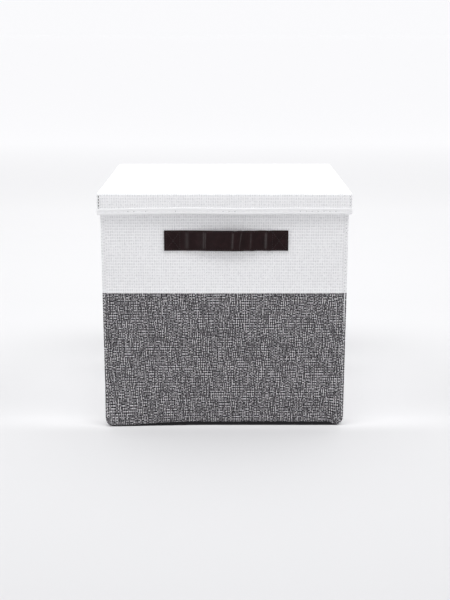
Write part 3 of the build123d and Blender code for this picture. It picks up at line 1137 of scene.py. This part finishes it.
tape_low, tape_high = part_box("lid_front_tape")
tape_inside = -skirt_lining_depth - LID_TAPE_THICKNESS
web = tape_low.z
stitch_height = web + 4.2 * MM
stitch_out = 0.5 * MM
lid_tape_section = [
    (tape_inside, tape_high.z),
    (tape_inside, web + 1.8 * MM),
    (tape_inside + 0.4 * MM, web + 0.6 * MM),
    (tape_inside + 1.5 * MM, web),
    (-0.9 * MM, web),
    (0.3 * MM, web + 0.6 * MM),
    (0.65 * MM, web + 1.8 * MM),
    (0.65 * MM, web + 3.0 * MM),
    (stitch_out, stitch_height),
    (0.75 * MM, web + 5.4 * MM),
    (0.95 * MM, tape_high.z - 1.6 * MM),
    (0.95 * MM, tape_high.z - 0.8 * MM),
    (0.85 * MM, tape_high.z - 0.25 * MM),
    (0.65 * MM, tape_high.z),
]


def tape_wave(point):
    """How far the tape's line rises or falls along the lid's edge. It hangs lowest at the left."""
    dip = LID_TAPE_DIP * smooth_step((-point.x - LID_TAPE_DIP_START) / LID_TAPE_DIP_RUN)
    return LID_TAPE_WAVE * noise.noise(Vector((point.x * 14, point.y * 14, 0.3))) - dip


tape, ring_length, tape_width = round_sheet(
    "lid_edge_tape", 0.0, lid_tape_section, LID_TAPE_THICKNESS, white_tape, tape_wave, 3 * MM
)
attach(tape, "lid")
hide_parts("lid_front_tape", "lid_back_tape", "lid_left_tape", "lid_right_tape")
stitches = []
holes = []
for number, (point, way) in enumerate(round_the_lid(0.0, LID_STITCH_PITCH / 2)[:-1]):
    if max(abs(way.x), abs(way.y)) < 0.99:
        continue
    spot = Vector((*(point + stitch_out * way), stitch_height + tape_wave(point)))
    level_way = Vector((-way.y, way.x, 0))
    if number % 2:
        stitches.append((spot, level_way, way.to_3d()))
    elif noise.noise(Vector((point.x * 60, point.y * 60, 2.9))) > 0.1:
        holes.append((spot, level_way, way.to_3d()))
thread = sewn_beads("lid_tape_stitches", stitches, LID_STITCH, light_thread)
punched = sewn_beads("lid_tape_needle_holes", holes, LID_HOLE, needle_hole_shade)
for part in (thread, punched):
    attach(part, "lid")


# Studio: a wide pale floor that runs back into a backdrop that glows, under an even white sky. The floor's
# colour is painted darker near the bin and paler further away, as painted shade and light, and beside the
# bin it glows, as painted light that fills the bin's shadow there. Soft panels hang above its front and
# back, and a narrow strip puts gloss on the strap. The camera looks slightly down on the lid.
FLOOR_HALF = 90
FLOOR_RISE = 7.5
FLOOR_SHADE_FADE = -0.75, 1.5
FLOOR_SHADE_COLOURS = [
    (0.0, (0.635, 0.635, 0.644)),
    (0.22, (0.672, 0.672, 0.680)),
    (1.0, (0.955, 0.955, 0.96)),
]
BACKDROP_GLOW = 0.335
BACKDROP_FADE = 0.5, 3.3
NEAR_FLOOR = -1.6, -0.8
SHADOW_FILL_GLOW = 0.31
SHADOW_FILL_REACH = 0.12, 0.36
SHADOW_FILL_FRONT = -0.17, -0.11
SHADOW_FILL_BACK = 0.0, 0.28
SKY_COLOUR = (0.985, 0.985, 1.0)
SKY_STRENGTH = 0.66
CAMERA_PLACE = (0.0006, -1.432, 0.495)
CAMERA_PITCH = 14.3
CAMERA_LENS = 64.2
CAMERA_SENSOR = 36
LAMP_AIM = Vector((0, 0, 0.15))

floor_mesh = bmesh.new()
bmesh.ops.create_grid(floor_mesh, x_segments=8, y_segments=8, size=FLOOR_HALF)
for vert in floor_mesh.verts:
    vert.co.z = FLOOR_RISE if max(abs(vert.co.x), abs(vert.co.y)) > FLOOR_HALF - 1 else 0
floor_finish, tree, shader = new_finish("pale_floor", roughness=0.75, specular=0.2)
place = shader_node(tree, "ShaderNodeTexCoord", {}).outputs["Object"]
spot = shader_node(tree, "ShaderNodeSeparateXYZ", {"Vector": place})
back = spot.outputs["Y"]


def floor_sum(operation, first, second=0.0):
    """A sum on two values of the floor."""
    return shader_node(tree, "ShaderNodeMath", {0: first, 1: second}, operation=operation).outputs[0]


aside = floor_sum("ABSOLUTE", spot.outputs["X"])
past_front = floor_sum("SUBTRACT", NEAR_FLOOR[0], back)
past_side = floor_sum("ADD", aside, NEAR_FLOOR[1])
away = floor_sum("MAXIMUM", floor_sum("MAXIMUM", back, past_front), past_side)


def floor_fade(value, span, start=0.0, end=1.0):
    """A value of the floor that goes from start to end over a span of it."""
    return shader_node(
        tree, "ShaderNodeMapRange",
        {"Value": value, "From Min": span[0], "From Max": span[1], "To Min": start, "To Max": end},
        interpolation_type="SMOOTHSTEP",
    ).outputs["Result"]


# Painted shade and light: the floor's colour is darker near the bin and the front, paler further away.
painted_fade = shader_node(
    tree, "ShaderNodeMapRange", {"Value": away, "From Min": FLOOR_SHADE_FADE[0], "From Max": FLOOR_SHADE_FADE[1]}
).outputs["Result"]
tree.links.new(shaded(tree, painted_fade, FLOOR_SHADE_COLOURS), shader.inputs["Base Color"])
shader.inputs["Emission Color"].default_value = (*SKY_COLOUR, 1)
# Painted light: the floor glows beside the bin to fill the bin's shadow there, fading out in front of it
# and behind it.
glow = floor_fade(aside, SHADOW_FILL_REACH, SHADOW_FILL_GLOW, 0.0)
for share in (floor_fade(back, SHADOW_FILL_FRONT), floor_fade(back, SHADOW_FILL_BACK, 1.0, 0.0)):
    glow = floor_sum("MULTIPLY", glow, share)
backdrop = shader_node(
    tree, "ShaderNodeMapRange",
    {"Value": away, "From Min": BACKDROP_FADE[0], "From Max": BACKDROP_FADE[1], "To Max": BACKDROP_GLOW},
).outputs["Result"]
tree.links.new(floor_sum("ADD", glow, backdrop), shader.inputs["Emission Strength"])
floor = finished_piece("pale_floor", floor_mesh, floor_finish)

sky = bpy.data.worlds.new("white_sky")
sky.use_nodes = True
background = sky.node_tree.nodes["Background"]
background.inputs["Color"].default_value = (*SKY_COLOUR, 1)
background.inputs["Strength"].default_value = SKY_STRENGTH
bpy.context.scene.world = sky

straps = bpy.data.collections.new("straps")
for wall in ("front", "back"):
    for hand in ("left", "right"):
        straps.objects.link(bpy.data.objects[f"{wall}_strap_{hand}"])
for name, place, width, length, watts in (
    ("front_panel", (0.0, -0.42, 1.5), 2.4, 0.5, 17.2),
    ("back_panel", (0.0, 0.45, 1.5), 2.4, 1.4, 8),
    ("left_strip", (-0.38, -1.05, 0.12), 0.03, 0.2, 0.5),
):
    light = bpy.data.lights.new(name, "AREA")
    light.shape = "RECTANGLE"
    light.size = width
    light.size_y = length
    light.energy = watts
    lamp = bpy.data.objects.new(name, light)
    lamp.visible_camera = False
    lamp.location = place
    lamp.rotation_euler = (LAMP_AIM - Vector(place)).to_track_quat("-Z", "Y").to_euler()
    bpy.context.collection.objects.link(lamp)
    if name == "left_strip":
        lamp.light_linking.receiver_collection = straps

camera = bpy.data.cameras.new("camera")
camera.lens = CAMERA_LENS
camera.sensor_width = CAMERA_SENSOR
viewer = bpy.data.objects.new("camera", camera)
viewer.location = CAMERA_PLACE
viewer.rotation_euler = (math.radians(90 - CAMERA_PITCH), 0, 0)
bpy.context.collection.objects.link(viewer)
bpy.context.scene.camera = viewer
bpy.context.scene.view_settings.view_transform = "Standard"
